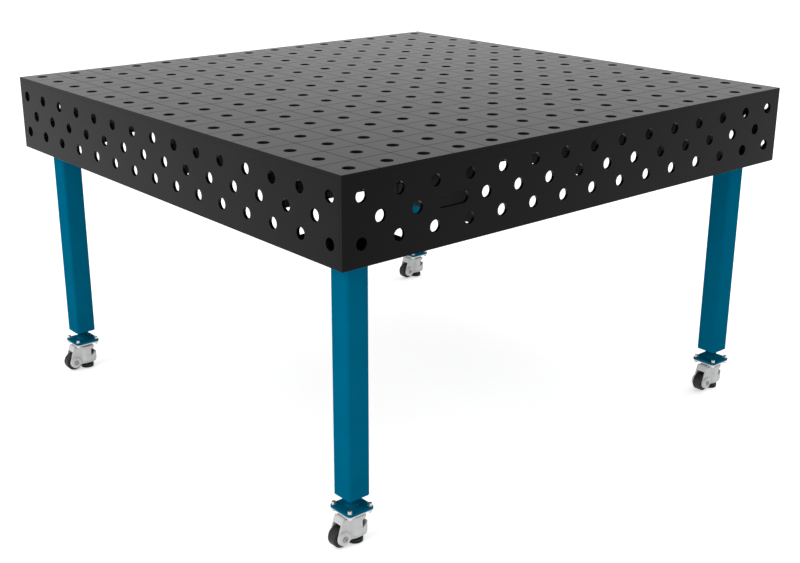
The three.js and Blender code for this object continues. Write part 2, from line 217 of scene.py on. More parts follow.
def spread(tree, source, low, high):
    """A number that goes from low to high with the source."""
    node = tree.nodes.new("ShaderNodeMapRange")
    node.inputs["From Min"].default_value = 0.3
    node.inputs["From Max"].default_value = 0.7
    node.inputs["To Min"].default_value = low
    node.inputs["To Max"].default_value = high
    tree.links.new(source, node.inputs["Value"])
    return node.outputs["Result"]


def multiply(tree, first, second, amount):
    """The first colour, darkened by the second."""
    node = tree.nodes.new("ShaderNodeMix")
    node.data_type = "RGBA"
    node.blend_type = "MULTIPLY"
    node.inputs["Factor"].default_value = amount
    tree.links.new(first, node.inputs["A"])
    tree.links.new(second, node.inputs["B"])
    return node.outputs["Result"]


def bump(tree, shader, height, strength, distance):
    """Raises and lowers the surface with a height source."""
    node = tree.nodes.new("ShaderNodeBump")
    node.inputs["Strength"].default_value = strength
    node.inputs["Distance"].default_value = distance
    tree.links.new(height, node.inputs["Height"])
    tree.links.new(node.outputs["Normal"], shader.inputs["Normal"])


def shaded(colour, change):
    return tuple(c * change for c in colour)


def dark_steel(name, colour, roughness, specular, stretch=(1, 0.05, 1)):
    """Plate under a dark protective layer: cloudy tone, faint grinding marks, fine grain."""
    material, tree, shader = new_material(name, roughness, 0.0, specular)
    cloud = noise(tree, 5.0, 5.0, 0.6)
    marks = noise(tree, 70.0, 3.0, 0.5, stretch)
    grain = noise(tree, 900.0, 2.0, 0.5)
    tone = ramp(tree, cloud, shaded(colour, 0.85), shaded(colour, 1.15))
    streaks = ramp(tree, marks, (0.9, 0.9, 0.9), (1, 1, 1))
    tree.links.new(multiply(tree, tone, streaks, 0.8), shader.inputs["Base Color"])
    tree.links.new(spread(tree, marks, roughness - 0.02, roughness + 0.03), shader.inputs["Roughness"])
    bump(tree, shader, grain, 0.1, 0.0002)
    return material


def powder_coat(name, colour, roughness):
    """Satin powder coat: slight orange peel, faint change of tone, dust in the roughness."""
    material, tree, shader = new_material(name, roughness, 0.0, 0.0)
    cloud = noise(tree, 9.0, 4.0)
    peel = noise(tree, 420.0, 2.0)
    tone = ramp(tree, cloud, shaded(colour, 0.94), shaded(colour, 1.06))
    tree.links.new(tone, shader.inputs["Base Color"])
    tree.links.new(spread(tree, cloud, roughness - 0.06, roughness + 0.08), shader.inputs["Roughness"])
    bump(tree, shader, peel, 0.12, 0.0003)
    return material


def zinc_plate(name, brightness):
    """Bright zinc: silver with a mild cloudy passivation and fine scratches."""
    material, tree, shader = new_material(name, 0.3, 1.0)
    cloud = noise(tree, 90.0, 4.0)
    scratch = noise(tree, 700.0, 2.0, 0.5, (1, 0.1, 1))
    dull = shaded((0.50, 0.50, 0.49), brightness)
    bright = shaded((0.68, 0.68, 0.67), brightness)
    tone = ramp(tree, cloud, dull, bright)
    tree.links.new(tone, shader.inputs["Base Color"])
    tree.links.new(spread(tree, scratch, 0.22, 0.4), shader.inputs["Roughness"])
    bump(tree, shader, scratch, 0.08, 0.0001)
    return material


def cast_lacquer():
    """Light grey lacquer on a die casting: soft pores and a faint sheen."""
    material, tree, shader = new_material("cast_lacquer", 0.45, 0.0, 0.3)
    cloud = noise(tree, 60.0, 4.0)
    pores = noise(tree, 1300.0, 3.0)
    tone = ramp(tree, cloud, (0.44, 0.445, 0.442), (0.51, 0.515, 0.512))
    tree.links.new(tone, shader.inputs["Base Color"])
    tree.links.new(spread(tree, cloud, 0.38, 0.52), shader.inputs["Roughness"])
    bump(tree, shader, pores, 0.12, 0.0002)
    return material


def moulded(name, colour, roughness):
    """Moulded nylon or rubber: scuffs lighten it a little and change its gloss."""
    material, tree, shader = new_material(name, roughness, 0.0, 0.25)
    scuff = noise(tree, 160.0, 6.0, 0.7)
    grain = noise(tree, 1500.0, 2.0)
    worn = tuple(c * 1.5 + 0.006 for c in colour)
    tree.links.new(ramp(tree, scuff, colour, worn, (0.45, 0.75)), shader.inputs["Base Color"])
    tree.links.new(spread(tree, scuff, roughness - 0.08, roughness + 0.1), shader.inputs["Roughness"])
    bump(tree, shader, grain, 0.1, 0.0002)
    return material


def groove_painted_shade():
    """Painted shade for the lines engraved in the plate: a near black floor, varied by noise."""
    material, tree, shader = new_material("groove_painted_shade", 0.75, 0.0, 0.02)
    mottle = noise(tree, 250.0)
    tone = ramp(tree, mottle, (0.003, 0.003, 0.003), (0.012, 0.012, 0.012))
    tree.links.new(tone, shader.inputs["Base Color"])
    bump(tree, shader, mottle, 0.1, 0.0002)
    return material


def pale_floor():
    """A matt floor that glows a little, so that it comes out as white as the surround."""
    material, tree, shader = new_material("pale_floor", 0.9, 0.0, 0.1)
    cloud = noise(tree, 0.6, 2.0)
    tree.links.new(ramp(tree, cloud, (0.94, 0.94, 0.94), (0.96, 0.96, 0.96)), shader.inputs["Base Color"])
    shader.inputs["Emission Color"].default_value = (1, 1, 1, 1)
    shader.inputs["Emission Strength"].default_value = 0.45
    return material


TOP_STEEL = dark_steel("top_plate_steel", (0.015, 0.015, 0.0153), 0.13, 0.07)
WALL_STEEL = dark_steel("side_wall_steel", (0.002, 0.002, 0.0021), 0.22, 0.07, (0.05, 0.05, 1))
INNER_STEEL = dark_steel("inner_steel", (0.007, 0.007, 0.0072), 0.5, 0.08)
WELD_BEAD = dark_steel("weld_bead_steel", (0.05, 0.046, 0.042), 0.35, 0.4)
BLACK_COAT = powder_coat("black_coat", (0.006, 0.006, 0.0065), 0.5)
TEAL = powder_coat("teal_powder_coat", (0.0, 0.090, 0.165), 0.42)
# painted shade: the teal coat darkened for the lock nuts and leg inserts in the shade under the legs
SHADED_TEAL = powder_coat("teal_coat_painted_shade", (0.0, 0.035, 0.058), 0.45)
ZINC = zinc_plate("zinc_plate", 1.0)
AXLE_STEEL = zinc_plate("axle_steel", 0.45)
CAST = cast_lacquer()
TREAD = moulded("black_nylon", (0.013, 0.013, 0.014), 0.45)
PAD = moulded("black_rubber", (0.010, 0.010, 0.011), 0.6)
RED = moulded("red_plastic", (0.30, 0.012, 0.010), 0.4)
# painted shade: the sides of the scribed grooves are coloured near black
GROOVE_SHADE = groove_painted_shade()

# ------------------------------------------------------------------ mesh helpers


class Build:
    """Collects points and faces, welding points that coincide."""

    def __init__(self):
        self.points = []
        self.faces = []
        self.slots = []
        self.known = {}

    def point(self, x, y, z):
        key = (round(x * 1e7), round(y * 1e7), round(z * 1e7))
        if key not in self.known:
            self.known[key] = len(self.points)
            self.points.append((x, y, z))
        return self.known[key]

    def face(self, corners, slot=0):
        unique = list(dict.fromkeys(corners))
        if len(unique) > 2:
            self.faces.append(unique)
            self.slots.append(slot)

    def band(self, lower, upper, slot=0):
        """Quads between two rings of points that run the same way."""
        count = len(lower)
        for i in range(count):
            j = (i + 1) % count
            self.face([lower[i], lower[j], upper[j], upper[i]], slot)

    def skin(self, rings, slot=0):
        """Bands from each ring of points to the next one."""
        for lower, upper in zip(rings, rings[1:]):
            self.band(lower, upper, slot)

    def solid(self, rings):
        """A skin that is closed at both ends."""
        self.skin(rings)
        self.face(rings[0][::-1])
        self.face(rings[-1])

    def ring(self, loop, z):
        return [self.point(x, y, z) for x, y in loop]

    def mesh(self, name, smooth_angle=35):
        mesh = bpy.data.meshes.new(name)
        mesh.from_pydata(self.points, [], self.faces)
        mesh.polygons.foreach_set("material_index", self.slots)
        mesh.validate()
        mesh.polygons.foreach_set("use_smooth", [True] * len(mesh.polygons))
        mesh.set_sharp_from_angle(angle=math.radians(smooth_angle))
        mesh.update()
        return mesh


def place(name, mesh, materials, body, at=(0, 0, 0), stands_for=()):
    """Shows a mesh as a piece that rides on a CAD body."""
    piece = bpy.data.objects.new(name, mesh)
    bpy.context.scene.collection.objects.link(piece)
    if not mesh.materials:
        for material in materials:
            mesh.materials.append(material)
    piece.location = at
    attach(piece, body)
    if stands_for:
        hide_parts(*stands_for)
    return piece


def circle(x, y, radius, count=40, turn=0.0):
    angles = [2 * math.pi * i / count + turn for i in range(count)]
    return [(x + radius * math.cos(a), y + radius * math.sin(a)) for a in angles]


def rounded(x0, y0, x1, y1, corner, steps=8):
    """A rectangle with round corners, anticlockwise."""
    loop = []
    centres = ((x1, y1, 0), (x0, y1, 1), (x0, y0, 2), (x1, y0, 3))
    for cx, cy, quarter in centres:
        ox = cx - corner if cx == x1 else cx + corner
        oy = cy - corner if cy == y1 else cy + corner
        for i in range(steps + 1):
            angle = math.pi / 2 * (quarter + i / steps)
            loop.append((ox + corner * math.cos(angle), oy + corner * math.sin(angle)))
    return loop


def obround(x, y, length, height, steps=16):
    """A slot with round ends, anticlockwise."""
    radius = height / 2
    run = length / 2 - radius
    right = [(-math.pi / 2 + math.pi * i / steps, run) for i in range(steps + 1)]
    left = [(math.pi / 2 + math.pi * i / steps, -run) for i in range(steps + 1)]
    return [(x + s + radius * math.cos(a), y + radius * math.sin(a)) for a, s in right + left]


class Outline:
    """The outside of a plate: a rectangle with optional round corners."""

    def __init__(self, x0, y0, x1, y1, corner=0.0):
        self.box = (x0, y0, x1, y1)
        self.corner = corner

    def loop(self, inset):
        x0, y0, x1, y1 = self.box
        box = (x0 + inset, y0 + inset, x1 - inset, y1 - inset)
        if self.corner <= inset:
            a, b, c, d = box
            return [(c, d), (a, d), (a, b), (c, b)]
        return rounded(*box, self.corner - inset)


class Hole:
    def __init__(self, x, y, radius, count=40):
        self.place = (x, y)
        self.radius = radius
        self.count = count

    def loop(self, inset):
        return circle(*self.place, self.radius + inset, self.count)


class Slot:
    def __init__(self, x, y, length, height):
        self.place = (x, y)
        self.size = (length, height)

    def loop(self, inset):
        length, height = self.size
        return obround(*self.place, length + 2 * inset, height + 2 * inset)


class RoundedHole:
    def __init__(self, half, corner):
        self.half = half
        self.corner = corner

    def loop(self, inset):
        h = self.half + inset
        return rounded(-h, -h, h, h, self.corner + inset)


def inside(loop, x, y):
    """Whether a point lies within a loop."""
    found = False
    for (ax, ay), (bx, by) in zip(loop, loop[1:] + loop[:1]):
        if (ay > y) != (by > y) and x < ax + (bx - ax) * (y - ay) / (by - ay):
            found = not found
    return found


def bounding_box(loop):
    xs = [x for x, y in loop]
    ys = [y for x, y in loop]
    return min(xs), max(xs), min(ys), max(ys)


def cap_triangles(outer, holes):
    """Triangles that fill the outline around its holes, as indices into outer + holes."""
    loops = [outer] + holes
    points, edges = [], []
    for loop in loops:
        start = len(points)
        points += loop
        edges += [(start + i, start + (i + 1) % len(loop)) for i in range(len(loop))]
    found, _, faces, origins, _, _ = delaunay_2d_cdt([Vector(p) for p in points], edges, [], 0, 1e-9)
    boxes = [bounding_box(hole) for hole in holes]
    kept = []
    for face in faces:
        x = sum(found[i].x for i in face) / 3
        y = sum(found[i].y for i in face) / 3
        hidden = not inside(outer, x, y)
        for hole, (x0, x1, y0, y1) in zip(holes, boxes):
            if x0 < x < x1 and y0 < y < y1 and inside(hole, x, y):
                hidden = True
        if not hidden:
            kept.append([origins[i][0] for i in face])
    return kept


def plate(build, outline, holes, z0, z1, chamfer):
    """A flat plate with chamfered edges and holes, added to a build."""
    outer_in = outline.loop(chamfer)
    holes_in = [h.loop(chamfer) for h in holes]
    triangles = cap_triangles(outer_in, holes_in)
    flat = outer_in + [p for h in holes_in for p in h]
    top = [build.point(x, y, z1) for x, y in flat]
    bottom = [build.point(x, y, z0) for x, y in flat]
    for a, b, c in triangles:
        (ax, ay), (bx, by), (cx, cy) = flat[a], flat[b], flat[c]
        turn = (bx - ax) * (cy - ay) - (by - ay) * (cx - ax)
        if turn < 0:
            b, c = c, b
        build.face([top[a], top[b], top[c]])
        build.face([bottom[a], bottom[c], bottom[b]])
    levels = [(z0, chamfer), (z0 + chamfer, 0.0), (z1 - chamfer, 0.0), (z1, chamfer)]
    for shape, outward in [(outline, True)] + [(h, False) for h in holes]:
        rings = [build.ring(shape.loop(inset), z) for z, inset in levels]
        build.skin(rings if outward else [ring[::-1] for ring in rings])


def turned(build, profile, count=48, at=(0, 0)):
    """Turns (radius, z) pairs about a Z axis; the outside of a profile runs upwards."""
    rings = []
    for radius, z in profile:
        if radius < 1e-9:
            rings.append([build.point(at[0], at[1], z)] * count)
        else:
            rings.append(build.ring(circle(*at, radius, count), z))
    build.skin(rings)


def turned_mesh(name, profile, count, at=(0, 0)):
    build = Build()
    turned(build, profile, count, at)
    return build.mesh(name)


def hexagon(x, y, across_flats):
    return circle(x, y, across_flats / math.sqrt(3), 6)


# ------------------------------------------------------------------ box top

TILE_STEPS = 8
# slot 1 holds painted shade, near black, for the sides of the scribed grooves
GROOVE_SHADE_SLOT, EDGE, INSIDE = 1, 2, 3  # the plate's finishes beside its top face


def hole_row(count):
    return [(i - (count - 1) / 2) * PITCH for i in range(count)]


def tile_edges(half):
    """Borders of the tiles around the holes of a row: half-way lines, and the plate's edges."""
    return [-half] + [x + PITCH / 2 for x in hole_row(HOLES_PER_ROW)[:-1]] + [half]


def side_points(a, b):
    return [a + (b - a) * i / TILE_STEPS for i in range(TILE_STEPS)]


def tile_border(x0, x1, y0, y1):
    """Points round a tile: along its near side, then its right, far and left sides."""
    border = [(x, y0) for x in side_points(x0, x1)]
    border += [(x1, y) for y in side_points(y0, y1)]
    border += [(x, y1) for x in side_points(x1, x0)]
    return border + [(x0, y) for y in side_points(y1, y0)]


def bored_tile(build, centre, box, at_edge):
    """A square of the plate with its hole, and with scribed lines or plate edges round it.

    at_edge says of the near, right, far and left side whether it is an edge of the plate.
    """
    x0, x1, y0, y1 = box
    bottom = TOP - SHEET
    border = tile_border(*box)
    near, right, far, left = [EDGE_CHAMFER if edge else GROOVE_WIDTH / 2 for edge in at_edge]
    flat, rim = [], []
    for x, y in border:
        flat_x = min(max(x, x0 + left), x1 - right)
        flat_y = min(max(y, y0 + near), y1 - far)
        flat.append((flat_x, flat_y))
        sides = (y == y0, x == x1, y == y1, x == x0)
        on_edge = any(side and edge for side, edge in zip(sides, at_edge))
        rim.append(build.point(x, y, TOP - (EDGE_CHAMFER if on_edge else GROOVE_DEPTH)))

    def hole(radius, z):
        return build.ring(circle(*centre, radius, len(border), -0.75 * math.pi), z)

    wide = HOLE_RADIUS + HOLE_CHAMFER
    mouth = hole(wide, TOP)
    neck = hole(HOLE_RADIUS, TOP - HOLE_CHAMFER)
    foot = hole(HOLE_RADIUS, bottom + HOLE_CHAMFER)
    under = hole(wide, bottom)
    face = build.ring(flat, TOP)
    lower = build.ring(border, bottom)
    build.band(face, mouth)
    build.band(mouth, neck)
    build.band(neck, foot, INSIDE)
    build.band(foot, under, INSIDE)
    build.band(under, lower, INSIDE)
    for k in range(len(border)):
        m = (k + 1) % len(border)
        is_edge = at_edge[k // TILE_STEPS]
        # a groove's sides take the near-black painted shade, a plate edge the wall steel
        build.face([rim[k], rim[m], face[m], face[k]], EDGE if is_edge else GROOVE_SHADE_SLOT)
        if is_edge:
            build.face([lower[k], lower[m], rim[m], rim[k]], EDGE)


def work_plate():
    """The top plate: chamfered holes in squares that are bordered by scribed lines."""
    build = Build()
    xs, ys = tile_edges(HALF_LENGTH), tile_edges(HALF_WIDTH)
    last = HOLES_PER_ROW - 1
    for i, cx in enumerate(hole_row(HOLES_PER_ROW)):
        for j, cy in enumerate(hole_row(HOLES_PER_ROW)):
            box = (xs[i], xs[i + 1], ys[j], ys[j + 1])
            bored_tile(build, (cx, cy), box, (j == 0, i == last, j == last, i == 0))
    # the second finish is the painted shade of the scribed grooves
    finishes = [TOP_STEEL, GROOVE_SHADE, WALL_STEEL, INNER_STEEL]
    mesh = build.mesh("work_plate", 12)
    place(mesh.name, mesh, finishes, "table", stands_for=["top_plate"])


def wall_holes(slot_at=None):
    holes = []
    for row, depth in enumerate(WALL_ROWS):
        count = HOLES_PER_ROW - 1 if row == 1 else HOLES_PER_ROW
        height = BOX_DEPTH * (1 - depth)
        for along in hole_row(count):
            if row == 1 and slot_at is not None and abs(along - slot_at) < MM:
                holes.append(Slot(along, height, SLOT_LENGTH, SLOT_HEIGHT))
            else:
                holes.append(Hole(along, height, HOLE_RADIUS))
    return holes


def side_wall(name, node, half, stand, slot_at=None):
    """A wall drawn flat and stood up by a matrix; its outer face is at the flat z = 0."""
    build = Build()
    outline = Outline(-half, 0, half, BOX_DEPTH - SHEET)
    plate(build, outline, wall_holes(slot_at), -SHEET, 0, EDGE_CHAMFER / 2)
    mesh = build.mesh(name)
    mesh.transform(stand)
    place(name, mesh, [WALL_STEEL], "table", stands_for=[node])


def stand_up(turn, distance):
    """Stands a flat plate on its lower edge, facing the direction that turn gives."""
    upright = Matrix.Rotation(math.pi / 2, 4, "X")
    facing = Matrix.Rotation(turn, 4, "Z")
    return Matrix.Translation((0, 0, BOX_BOTTOM)) @ facing @ Matrix.Translation((0, -distance, 0)) @ upright


def side_walls():
    """The two long walls, and the two short ones between them."""
    quarter = math.pi / 2
    inner = HALF_WIDTH - SHEET
    side_wall("near_wall", "long_wall_near", HALF_LENGTH, stand_up(0, HALF_WIDTH), SLOT_AT)
    side_wall("far_wall", "long_wall_far", HALF_LENGTH, stand_up(2 * quarter, HALF_WIDTH))
    side_wall("right_wall", "short_wall_right", inner, stand_up(quarter, HALF_LENGTH))
    side_wall("left_wall", "short_wall_left", inner, stand_up(-quarter, HALF_LENGTH))


# ------------------------------------------------------------------ welds of the ribs


def fillet(build, start, end, toward_one, toward_other):
    """A rippled fillet weld along a line where two plates meet."""
    along = end - start
    if toward_one.cross(toward_other).dot(along) < 0:
        toward_one, toward_other = toward_other, toward_one
    steps = round(along.length / FILLET_STEP)
    facets = 4
    rings = []
    for i in range(steps + 1):
        tapered = 0.5 if i in (0, steps) else 1
        size = FILLET_SIZE * tapered * (1 + 0.1 * math.sin(i * 2.1))
        root = start + along * (i / steps)
        ring = [build.point(*root)]
        for k in range(facets + 1):
            angle = math.pi / 2 * k / facets
            reach = size * (1 - 0.18 * math.sin(2 * angle))
            edge = root + toward_one * (reach * math.cos(angle)) + toward_other * (reach * math.sin(angle))
            ring.append(build.point(*edge))
        rings.append(ring)
    build.solid(rings)


def rib_fillets(build, node, along, across):
    """Stitches under the top plate and a bead up the wall at each end, on both sides of a rib."""
    low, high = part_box(node)
    down = Vector((0, 0, -1))
    under = Vector((0, 0, plate_low.z))
    middle = (low + high).dot(across) / 2
    half = (high - low).dot(across) / 2
    for side in (-1, 1):
        out = across * side
        foot = across * middle + out * half + under
        for i in range(STITCHES):
            centre = foot + along * (FIRST_STITCH + STITCH_PITCH * i)
            reach = along * (STITCH_LENGTH / 2)
            fillet(build, centre - reach, centre + reach, out, down)
        for wall, inward in ((low.dot(along), along), (high.dot(along), -along)):
            top = foot + along * wall + down * FILLET_END
            bottom = foot + along * wall + down * (plate_low.z - low.z - FILLET_END)
            fillet(build, top, bottom, out, inward)


def rib_welds():
    """The welds of every rib, as one piece."""
    build = Build()
    lengthwise = Vector((1, 0, 0))
    crosswise = Vector((0, 1, 0))
    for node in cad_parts:
        if node.startswith("cross_rib_"):
            rib_fillets(build, node, crosswise, lengthwise)
        if node.startswith("long_rib_"):
            rib_fillets(build, node, lengthwise, crosswise)
    place("rib_welds", build.mesh("rib_welds", 60), [WELD_BEAD], "table")


# ------------------------------------------------------------------ fasteners


def socket_bolt(build, x, y, seat, head_radius, head_height):
    """A socket-head cap screw: chamfered head with a hexagon socket."""
    edge = 0.5 * MM
    depth = head_height * 0.55
    top = seat + head_height
    per_side = 6
    count = 6 * per_side
    rings = [
        build.ring(circle(x, y, head_radius, count), seat),
        build.ring(circle(x, y, head_radius, count), top - edge),
        build.ring(circle(x, y, head_radius - edge, count), top),
    ]
    build.skin(rings)
    build.face(rings[0][::-1])
    hex_loop = []
    corners = hexagon(x, y, head_radius)
    for (ax, ay), (bx, by) in zip(corners, corners[1:] + corners[:1]):
        parts = [i / per_side for i in range(per_side)]
        hex_loop += [(ax + (bx - ax) * part, ay + (by - ay) * part) for part in parts]
    rim = build.ring(hex_loop, top)
    floor = build.ring(hex_loop, top - depth)
    build.band(rings[-1], rim)
    build.band(rim, floor)
    build.face(floor)


def hex_nut(build, x, y, z0, z1, across, bore):
    """A hexagon nut with chamfered ends around a bore."""
    chamfer = (z1 - z0) * 0.12
    count = 36

    def nut_loop(limit):
        loop = []
        for px, py in circle(0, 0, 1, count):
            angle = math.atan2(py, px)
            sector = (angle + math.pi / 6) % (math.pi / 3) - math.pi / 6
            reach = across / 2 / math.cos(sector)
            radius = min(reach, limit)
            loop.append((x + radius * px, y + radius * py))
        return loop

    full = across
    small = across / 2 * 1.02
    levels = [(z0, small), (z0 + chamfer, full), (z1 - chamfer, full), (z1, small)]
    rings = [build.ring(nut_loop(limit), z) for z, limit in levels]
    build.skin(rings)
    inner_low = build.ring(circle(x, y, bore, count), z0)
    inner_high = build.ring(circle(x, y, bore, count), z1)
    build.band(rings[-1], inner_high)
    build.band(inner_high, inner_low)
    build.band(inner_low, rings[0])


def washer(build, x, y, z0, z1, radius, bore):
    edge = (z1 - z0) * 0.25
    profile = [(bore, z0), (radius - edge, z0), (radius, z0 + edge)]
    profile += [(radius, z1 - edge), (radius - edge, z1), (bore, z1), (bore, z0)]
    turned(build, profile, 32, (x, y))


def bolt_square(pitch):
    """The places of four bolts at the corners of a square."""
    return [(sx * pitch / 2, sy * pitch / 2) for sx in (-1, 1) for sy in (-1, 1)]


# ------------------------------------------------------------------ legs


def mounting_plate(corner):
    """The plate inside the box that a leg is bolted to."""
    low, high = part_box("corner_plate_" + corner)
    build = Build()
    at = CORNER_AT[corner]
    holes = [Hole(at.x + x, at.y + y, FLANGE_BOLT_HOLE, 24) for x, y in bolt_square(FLANGE_BOLTS)]
    plate(build, Outline(low.x, low.y, high.x, high.y, 2 * MM), holes, low.z, high.z, EDGE_CHAMFER)
    mesh = build.mesh("mounting_plate_" + corner)
    place(mesh.name, mesh, [BLACK_COAT], "table", stands_for=["corner_plate_" + corner])


def leg_mesh():
    """A square tube with its flange."""
    low, high = local_box("leg_front")
    flange_low = high.z - FLANGE_THICKNESS
    build = Build()
    h = LEG_SIZE / 2
    tube = Outline(-h, -h, h, h, LEG_CORNER)
    bore = RoundedHole(h - LEG_WALL, LEG_CORNER - LEG_WALL)
    plate(build, tube, [bore], low.z, flange_low, FINE_CHAMFER)
    f = FLANGE_SIZE / 2
    holes = [Hole(x, y, FLANGE_BOLT_HOLE, 24) for x, y in bolt_square(FLANGE_BOLTS)]
    plate(build, Outline(-f, -f, f, f, LEG_CORNER), holes, flange_low, high.z, EDGE_CHAMFER)
    return build.mesh("leg")


def weld_bead_mesh():
    """A rippled fillet weld around the tube under its flange."""
    joint = local_box("leg_front")[1].z - FLANGE_THICKNESS
    size = LEG_WELD
    ripple = size / 10
    h = LEG_SIZE / 2
    loop = []
    path = rounded(-h, -h, h, h, LEG_CORNER, 6)
    for (ax, ay), (bx, by) in zip(path, path[1:] + path[:1]):
        length = math.hypot(bx - ax, by - ay)
        steps = max(1, round(length / (1.2 * MM)))
        loop += [(ax + (bx - ax) * i / steps, ay + (by - ay) * i / steps) for i in range(steps)]
    build = Build()
    facets = 6
    rings = []
    for k in range(facets + 1):
        angle = math.pi / 2 * k / facets
        ring = []
        for i, (x, y) in enumerate(loop):
            swell = size + ripple * math.sin(i * 1.3)
            out = 1 + swell * math.cos(angle) / h
            ring.append(build.point(x * out, y * out, joint - swell * math.sin(angle) + 0.2 * MM))
        rings.append(ring)
    build.skin(rings[::-1])
    inner_low = build.ring(loop, joint - size)
    inner_high = build.ring(loop, joint + 0.2 * MM)
    build.band(inner_low, rings[-1])
    build.band(inner_high, inner_low)
    build.band(rings[0], inner_high)
    return build.mesh("weld_bead", 60)


def flange_bolts_mesh():
    """Four hexagon bolts through flange and mounting plate, with nuts on top."""
    build = Build()
    under = local_box("leg_front")[1].z - FLANGE_THICKNESS
    above = local_box("corner_plate_front")[1].z
    washer_radius = 10.5 * MM
    washer_height = 2 * MM
    head_height = 6.4 * MM
    nut_height = 8 * MM
    bore = FLANGE_BOLT_RADIUS + 0.2 * MM
    for x, y in bolt_square(FLANGE_BOLTS):
        seat = under - washer_height
        washer(build, x, y, seat, under, washer_radius, bore)
        hex_nut(build, x, y, seat - head_height, seat, FLANGE_NUT, 0.1 * MM)
        seat = above + washer_height
        washer(build, x, y, above, seat, washer_radius, bore)
        hex_nut(build, x, y, seat, seat + nut_height, FLANGE_NUT, FLANGE_BOLT_RADIUS)
        shank = threads(FLANGE_BOLT_RADIUS, under - 3 * MM, above + 14 * MM, 1.5 * MM)
        turned(build, shank, 20, (x, y))
    return build.mesh("flange_bolts")


def threads(radius, z0, z1, pitch):
    """The profile of a threaded rod, from its lower to its upper end."""
    depth = pitch * 0.45
    profile = [(0, z0), (radius - depth, z0)]
    turns = int((z1 - z0) / pitch)
    for i in range(turns):
        base = z0 + (z1 - z0) * i / turns
        profile += [(radius, base + pitch * 0.5), (radius - depth, base + pitch * 0.95)]
    return profile + [(radius - depth, z1), (0, z1)]


def lock_nut_mesh():
    """The nut that locks the spindle under the leg."""
    low, high = local_box("lock_nut_front")
    build = Build()
    hex_nut(build, 0, 0, low.z, high.z, LOCK_NUT_ACROSS, SPINDLE_RADIUS + 0.1 * MM)
    return build.mesh("lock_nut")


def adapter_mesh():
    """The square adapter plate with its boss and threaded spindle."""
    low, high = local_box("spindle_adapter_front")
    top = low.z + ADAPTER_THICKNESS
    build = Build()
    h = ADAPTER_SIZE / 2
    holes = [Hole(x, y, CASTER_BOLT_HOLE, 24) for x, y in bolt_square(CASTER_BOLTS)]
    plate(build, Outline(-h, -h, h, h, ADAPTER_CORNER), holes, low.z, top, EDGE_CHAMFER)
    boss = ADAPTER_BOSS_RADIUS
    boss_top = top + BOSS_HEIGHT
    edge = 1.5 * MM
    profile = [(0, top - MM), (boss + edge, top - MM), (boss + edge, top + 0.5 * MM), (boss, top + 2 * MM)]
    profile += [(boss, boss_top - edge), (boss - edge, boss_top), (0, boss_top)]
    turned(build, profile, 56)
    turned(build, threads(SPINDLE_RADIUS, boss_top - MM, high.z, 2 * MM), 40)
    return build.mesh("adapter")


def bolts_mesh():
    """Four cap screws with washers on the adapter plate."""
    top = local_box("spindle_adapter_front")[0].z + ADAPTER_THICKNESS
    build = Build()
    seat = top + 1.2 * MM
    for x, y in bolt_square(CASTER_BOLTS):
        washer(build, x, y, top, seat, 2 * CASTER_BOLT_RADIUS, CASTER_BOLT_RADIUS + 0.2 * MM)
        socket_bolt(build, x, y, seat, 5 * MM, 2 * CASTER_BOLT_RADIUS)
    return build.mesh("cap_screws", 30)


def nuts_mesh():
    """The nuts and screw ends under the caster's plate."""
    under = caster_plate_under()
    build = Build()
    screw_end = threads(CASTER_BOLT_RADIUS, under - 8 * MM, under + SWIVEL_PLATE_THICKNESS, MM)
    for x, y in bolt_square(CASTER_BOLTS):
        hex_nut(build, x, y, under - 5.2 * MM, under, 10 * MM, CASTER_BOLT_RADIUS)
        turned(build, screw_end, 18, (x, y))
    return build.mesh("screw_nuts")


# ------------------------------------------------------------------ levelling caster


def caster_plate_under():
    return local_box("caster_plate_front")[1].z - SWIVEL_PLATE_THICKNESS


def caster_plate_mesh():
    """The zinc plate with the dished race under it."""
    low, high = local_box("caster_plate_front")
    under = caster_plate_under()
    build = Build()
    h = ADAPTER_SIZE / 2
    holes = [Hole(x, y, CASTER_BOLT_HOLE, 24) for x, y in bolt_square(CASTER_BOLTS)]
    plate(build, Outline(-h, -h, h, h, ADAPTER_CORNER), holes, under, high.z, FINE_CHAMFER)
    race = low.z + KING_PIN_LENGTH
    inside_plate = under + 0.5 * MM
    pin = KING_PIN_RADIUS
    profile = [(0, low.z), (pin - MM, low.z), (pin, low.z + MM), (pin, race), (RACE_RADIUS - 2 * MM, race)]
    profile += [(RACE_RADIUS, race + 1.5 * MM), (RACE_RADIUS, inside_plate), (0, inside_plate)]
    turned(build, profile)
    return build.mesh("caster_plate")


# ------------------------------------------------------------------ caster housing


def drawn_out(points_at, start, end):
    """A temporary solid between two copies of a loop; points_at(distance) gives one copy."""
    build = Build()
    near = [build.point(*point) for point in points_at(start)]
    far = [build.point(*point) for point in points_at(end)]
    build.solid([near, far])
    return solid_object(build)


def side_prism(loop, half):
    """A loop in the XZ plane, drawn out along Y to both sides."""
    return drawn_out(lambda y: [(x, y, z) for x, z in loop], -half, half)


def plan_prism(loop, z0, z1):
    """A loop in the XY plane, drawn out along Z."""
    return drawn_out(lambda z: [(x, y, z) for x, y in loop], z0, z1)


def section_prism(loop, x0, x1):
    """A loop in the YZ plane, drawn out along X."""
    return drawn_out(lambda x: [(x, y, z) for y, z in loop], x0, x1)


def solid_object(build):
    """A build's points and faces as an object, with its faces turned outwards."""
    mesh = bpy.data.meshes.new("tool")
    mesh.from_pydata(build.points, [], build.faces)
    closed = bmesh.new()
    closed.from_mesh(mesh)
    bmesh.ops.recalc_face_normals(closed, faces=closed.faces)
    closed.to_mesh(mesh)
    closed.free()
    tool = bpy.data.objects.new("tool", mesh)
    bpy.context.scene.collection.objects.link(tool)
    return tool


